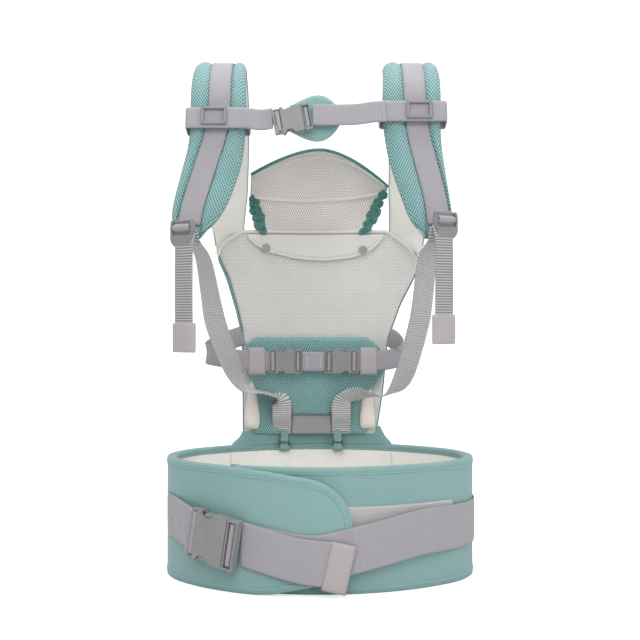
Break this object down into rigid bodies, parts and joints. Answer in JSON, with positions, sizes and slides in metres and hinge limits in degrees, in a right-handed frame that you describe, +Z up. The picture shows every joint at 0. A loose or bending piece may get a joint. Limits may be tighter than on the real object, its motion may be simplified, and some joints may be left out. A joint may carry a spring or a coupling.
{
  "type": "baby carrier",
  "caption": "Soft wearable baby carrier: padded waist belt, mesh back panel, arched shoulder straps, small hood, and webbing with side-release buckles",
  "frame": {"origin": "centre of the bounding box, on the plane that the belt rim stands on", "axes": "+Z up, +Y from the waist buckle towards the panel, +X to the right seen from the buckle side"},
  "size_m": [0.368, 0.2629, 0.6107],
  "materials": {
    "smooth_cloth": "plain-weave teal cloth",
    "spacer_mesh": "teal three-dimensional spacer mesh",
    "lining_mesh": "pale knitted lining mesh",
    "belt_lining": "pale perforated lining",
    "hood_cloth": "pale thin cloth with a teal edge",
    "foam": "soft foam",
    "webbing": "grey woven webbing",
    "keeper_elastic": "grey folded elastic",
    "loop_fastener": "brushed loop fastener",
    "hook_fastener": "moulded hook fastener",
    "buckle_plastic": "fine-textured acetal",
    "dark_plastic": "moulded dark acetal",
    "snap": "satin snap cap"
  },
  "bodies": {
    "belt": {"belt_cover": "smooth_cloth", "belt_foam": "foam", "belt_lining": "belt_lining", "loop_patch": "loop_fastener", "hook_patch": "hook_fastener", "waist_anchor_webbing": "webbing", "waist_strap": "webbing", "waist_buckle_female": "buckle_plastic", "belt_hook_loops": "smooth_cloth"},
    "waist_male": {"waist_buckle_male": "buckle_plastic", "waist_strap_tail": "webbing", "waist_tail_keeper": "keeper_elastic"},
    "waist_latch_upper": {"waist_latch_upper": "buckle_plastic"},
    "waist_latch_lower": {"waist_latch_lower": "buckle_plastic"},
    "hook_left": {"belt_hook_left": "dark_plastic"},
    "hook_right": {"belt_hook_right": "dark_plastic"},
    "panel": {"panel_foot": "smooth_cloth", "panel_outer": "spacer_mesh", "panel_foam": "foam", "panel_lining": "lining_mesh", "panel_bolsters": "lining_mesh", "lumbar_pad": "spacer_mesh", "bottom_webbing": "webbing", "strap_webbing_left": "webbing", "strap_webbing_right": "webbing", "lumbar_loop_left": "webbing", "lumbar_loop_right": "webbing", "lumbar_webbing": "webbing", "lumbar_male_left": "buckle_plastic", "lumbar_male_right": "buckle_plastic", "shoulder_strap_left": "spacer_mesh", "shoulder_strap_right": "spacer_mesh", "shoulder_linings": "lining_mesh", "strap_face_webbing_left": "webbing", "strap_face_webbing_right": "webbing", "snap_studs": "snap"},
    "lumbar_female_left": {"lumbar_female_left": "buckle_plastic"},
    "lumbar_female_right": {"lumbar_female_right": "buckle_plastic"},
    "lumbar_latch_left_upper": {"lumbar_latch_left_upper": "buckle_plastic"},
    "lumbar_latch_left_lower": {"lumbar_latch_left_lower": "buckle_plastic"},
    "lumbar_latch_right_upper": {"lumbar_latch_right_upper": "buckle_plastic"},
    "lumbar_latch_right_lower": {"lumbar_latch_right_lower": "buckle_plastic"},
    "lock_left": {"ladder_lock_left": "buckle_plastic"},
    "lock_right": {"ladder_lock_right": "buckle_plastic"},
    "tail_left": {"tail_webbing_left": "webbing", "tail_keeper_left": "keeper_elastic"},
    "tail_right": {"tail_webbing_right": "webbing", "tail_keeper_right": "keeper_elastic"},
    "back_strap": {"back_webbing_left": "webbing", "back_ring_right": "webbing", "triglides": "buckle_plastic", "back_buckle_female": "buckle_plastic", "back_pad": "smooth_cloth"},
    "back_male": {"back_buckle_male": "buckle_plastic", "back_webbing_right": "webbing"},
    "back_latch_upper": {"back_latch_upper": "buckle_plastic"},
    "back_latch_lower": {"back_latch_lower": "buckle_plastic"},
    "hood": {"hood_shell": "hood_cloth"},
    "neck_flap": {"neck_flap": "lining_mesh", "snap_caps": "snap"}
  },
  "joints": [
    {"name": "waist_buckle_release", "type": "slide", "parent": "belt", "child": "waist_male", "axis": [0.8439, -0.5076, -0.1736], "range_m": [0, 0.036]},
    {"name": "waist_latch_squeeze", "type": "hinge", "parent": "waist_male", "child": "waist_latch_upper", "pos_m": [-0.09701, -0.10727, 0.07852], "axis": [-0.5154, -0.8569, 0], "range_deg": [0, 6], "stiffness_Nm_per_rad": 0.8},
    {"name": "waist_latch_squeeze_lower", "type": "hinge", "parent": "waist_male", "child": "waist_latch_lower", "pos_m": [-0.10357, -0.10333, 0.0351], "axis": [-0.5154, -0.8569, 0], "range_deg": [-6, 0], "stiffness_Nm_per_rad": 0.8},
    {"name": "belt_hook_left_swing", "type": "hinge", "parent": "belt", "child": "hook_left", "pos_m": [-0.046, 0.1077, 0.136], "axis": [1, 0, 0], "range_deg": [0, 60]},
    {"name": "belt_hook_right_swing", "type": "hinge", "parent": "belt", "child": "hook_right", "pos_m": [0.023, 0.1077, 0.136], "axis": [1, 0, 0], "range_deg": [0, 60]},
    {"name": "panel_fold", "type": "hinge", "parent": "belt", "child": "panel", "pos_m": [0, 0.1327, 0.139], "axis": [-1, 0, 0], "range_deg": [0, 80]},
    {"name": "lumbar_buckle_left_release", "type": "slide", "parent": "panel", "child": "lumbar_female_left", "axis": [-1, 0, 0], "range_m": [0, 0.02]},
    {"name": "lumbar_latch_left_squeeze", "type": "hinge", "parent": "panel", "child": "lumbar_latch_left_upper", "pos_m": [-0.0343, 0.0907, 0.25651], "axis": [0, -1, 0], "range_deg": [0, 8], "stiffness_Nm_per_rad": 0.009},
    {"name": "lumbar_latch_left_squeeze_lower", "type": "hinge", "parent": "panel", "child": "lumbar_latch_left_lower", "pos_m": [-0.0343, 0.0907, 0.23549], "axis": [0, -1, 0], "range_deg": [-8, 0], "stiffness_Nm_per_rad": 0.009},
    {"name": "lumbar_buckle_right_release", "type": "slide", "parent": "panel", "child": "lumbar_female_right", "axis": [1, 0, 0], "range_m": [0, 0.02]},
    {"name": "lumbar_latch_right_squeeze", "type": "hinge", "parent": "panel", "child": "lumbar_latch_right_upper", "pos_m": [0.0177, 0.0907, 0.25651], "axis": [0, -1, 0], "range_deg": [-8, 0], "stiffness_Nm_per_rad": 0.009},
    {"name": "lumbar_latch_right_squeeze_lower", "type": "hinge", "parent": "panel", "child": "lumbar_latch_right_lower", "pos_m": [0.0177, 0.0907, 0.23549], "axis": [0, -1, 0], "range_deg": [0, 8], "stiffness_Nm_per_rad": 0.009},
    {"name": "ladder_lock_left_tilt", "type": "hinge", "parent": "panel", "child": "lock_left", "pos_m": [-0.14833, -0.11492, 0.407], "axis": [-0.848, 0.5299, 0], "range_deg": [0, 35]},
    {"name": "tail_left_swing", "type": "hinge", "parent": "lock_left", "child": "tail_left", "pos_m": [-0.1506, -0.11857, 0.391], "axis": [-0.848, 0.5299, 0], "range_deg": [-4, 60]},
    {"name": "ladder_lock_right_tilt", "type": "hinge", "parent": "panel", "child": "lock_right", "pos_m": [0.13533, -0.11492, 0.416], "axis": [-0.848, -0.5299, 0], "range_deg": [0, 35]},
    {"name": "tail_right_swing", "type": "hinge", "parent": "lock_right", "child": "tail_right", "pos_m": [0.1376, -0.11857, 0.4], "axis": [-0.848, -0.5299, 0], "range_deg": [-4, 60]},
    {"name": "back_strap_height", "type": "slide", "parent": "panel", "child": "back_strap", "axis": [0, 0.2079, 0.9781], "range_m": [-0.018, 0.009]},
    {"name": "back_buckle_release", "type": "slide", "parent": "back_strap", "child": "back_male", "axis": [0.9848, 0.0361, 0.1699], "range_m": [0, 0.02]},
    {"name": "back_latch_squeeze", "type": "hinge", "parent": "back_male", "child": "back_latch_upper", "pos_m": [-0.02279, -0.07415, 0.53361], "axis": [0, -0.9781, 0.2079], "range_deg": [0, 8], "stiffness_Nm_per_rad": 0.009},
    {"name": "back_latch_squeeze_lower", "type": "hinge", "parent": "back_male", "child": "back_latch_lower", "pos_m": [-0.01914, -0.07845, 0.51337], "axis": [0, -0.9781, 0.2079], "range_deg": [-8, 0], "stiffness_Nm_per_rad": 0.009},
    {"name": "hood_fold", "type": "hinge", "parent": "panel", "child": "hood", "pos_m": [0, 0.1247, 0.413], "axis": [-1, 0, 0], "range_deg": [0, 130]},
    {"name": "neck_flap_lift", "type": "hinge", "parent": "panel", "child": "neck_flap", "pos_m": [0, 0.1107, 0.411], "axis": [-1, 0, 0], "range_deg": [0, 100]}
  ],
  "couplings": [
    {"joint": "waist_latch_squeeze_lower", "follows": "waist_latch_squeeze", "ratio": -1},
    {"joint": "back_latch_squeeze_lower", "follows": "back_latch_squeeze", "ratio": -1},
    {"joint": "lumbar_latch_left_squeeze_lower", "follows": "lumbar_latch_left_squeeze", "ratio": -1},
    {"joint": "lumbar_latch_right_squeeze_lower", "follows": "lumbar_latch_right_squeeze", "ratio": -1}
  ]
}
